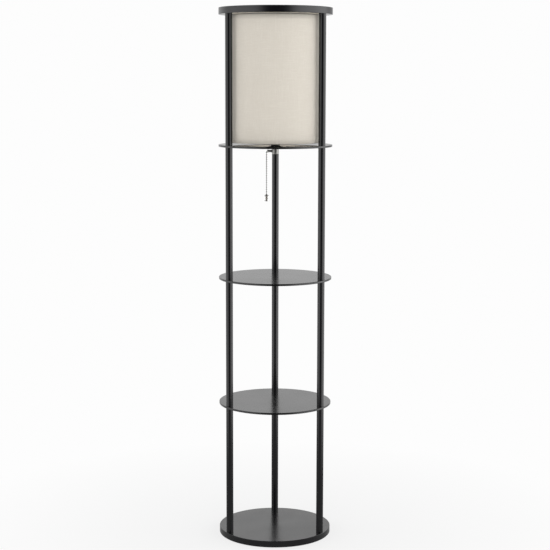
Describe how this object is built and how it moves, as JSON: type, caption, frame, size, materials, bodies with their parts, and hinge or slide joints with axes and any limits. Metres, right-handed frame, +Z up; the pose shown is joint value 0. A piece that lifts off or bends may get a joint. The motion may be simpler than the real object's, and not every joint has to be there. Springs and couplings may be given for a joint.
{
  "type": "shelf floor lamp",
  "caption": "Round shelf floor lamp: slim posts carry thin round shelves above a round base, and a fabric drum shade under a ring top, switched by a pull chain.",
  "frame": {"origin": "centre of the base's foot print, on the floor", "axes": "+Z up along the lamp, -Y to the front, +X to the right seen from the front"},
  "size_m": [0.338, 0.338, 1.5875],
  "materials": {
    "black_board": "satin black foil over fibreboard",
    "black_shelf": "glossy black shelf",
    "black_tube": "satin black powder coat",
    "black_cover": "matte black plastic",
    "pad_rubber": "soft rubber",
    "zinc_steel": "zinc plated",
    "shade_linen": "off-white linen",
    "shade_backing": "translucent white backing",
    "white_wire": "white enamelled wire",
    "dark_phenolic": "dark brown moulded phenolic",
    "brass": "plain brass",
    "cap_metal": "bright metal",
    "bulb_glass": "frosted glass",
    "dark_glass": "black insulator and solder tip",
    "lead_cover": "insulated leads",
    "nickel": "nickel plated",
    "clear_acrylic": "clear acrylic",
    "dark_bronze": "dark bronze"
  },
  "bodies": {
    "frame": {"base_board": "black_board", "base_pads": "pad_rubber", "base_bolts": "zinc_steel", "post_plugs": "zinc_steel", "lower_shelf_studs": "zinc_steel", "middle_shelf_studs": "zinc_steel", "upper_shelf_studs": "zinc_steel", "cap_bolts": "zinc_steel", "cap_bolt_covers": "black_cover", "cap_ring": "black_board", "shelf_lower": "black_shelf", "shelf_middle": "black_shelf", "shelf_upper": "black_shelf", "shade_fabric": "shade_linen", "shade_liner": "shade_backing", "shade_top_wire": "white_wire", "shade_fitter": "white_wire", "socket_body": "dark_phenolic", "shade_ring_nut": "dark_phenolic", "socket_screw_shell": "brass", "socket_contact": "brass", "socket_nipple": "zinc_steel", "nipple_nut": "zinc_steel", "socket_leads": "lead_cover", "switch_can": "nickel", "switch_cover": "nickel", "switch_arm": "nickel", "switch_block": "dark_phenolic", "cord_bush": "black_cover", "post_left_bottom": "black_tube", "post_left_lower": "black_tube", "post_left_middle": "black_tube", "post_left_top": "black_tube", "post_right_bottom": "black_tube", "post_right_lower": "black_tube", "post_right_middle": "black_tube", "post_right_top": "black_tube", "post_back_bottom": "black_tube", "post_back_lower": "black_tube", "post_back_middle": "black_tube", "post_back_top": "black_tube"},
    "bulb": {"bulb_globe": "bulb_glass", "bulb_cap": "cap_metal", "bulb_foot": "dark_glass"},
    "switch_slider": {"switch_slider": "dark_phenolic", "inner_chain": "nickel"},
    "chain_stem": {"chain_stem": "nickel"},
    "chain_swivel": {"chain_swivel_bead": "nickel"},
    "chain": {"chain_beads": "nickel", "chain_links": "nickel", "pendant_bell": "clear_acrylic", "pendant_core": "dark_bronze"}
  },
  "joints": [
    {"name": "chain_pull", "type": "slide", "parent": "frame", "child": "chain_stem", "axis": [0, 0, -1], "range_m": [0, 0.0055], "stiffness_N_per_m": 900, "springref_m": -0.004},
    {"name": "slider_travel", "type": "slide", "parent": "frame", "child": "switch_slider", "axis": [-1, 0, 0], "range_m": [0, 0.0055]},
    {"name": "chain_swing_sideways", "type": "hinge", "parent": "chain_stem", "child": "chain_swivel", "pos_m": [-0.0263, 0, 1.16015], "axis": [0, 1, 0], "range_deg": [-40, 40]},
    {"name": "chain_swing_forward", "type": "hinge", "parent": "chain_swivel", "child": "chain", "pos_m": [-0.0263, 0, 1.15325], "axis": [1, 0, 0], "range_deg": [-40, 40]},
    {"name": "bulb_lift_out", "type": "slide", "parent": "frame", "child": "bulb", "axis": [0, 0, 1], "range_m": [0, 0.03]}
  ],
  "couplings": [
    {"joint": "slider_travel", "follows": "chain_pull", "ratio": 1}
  ]
}
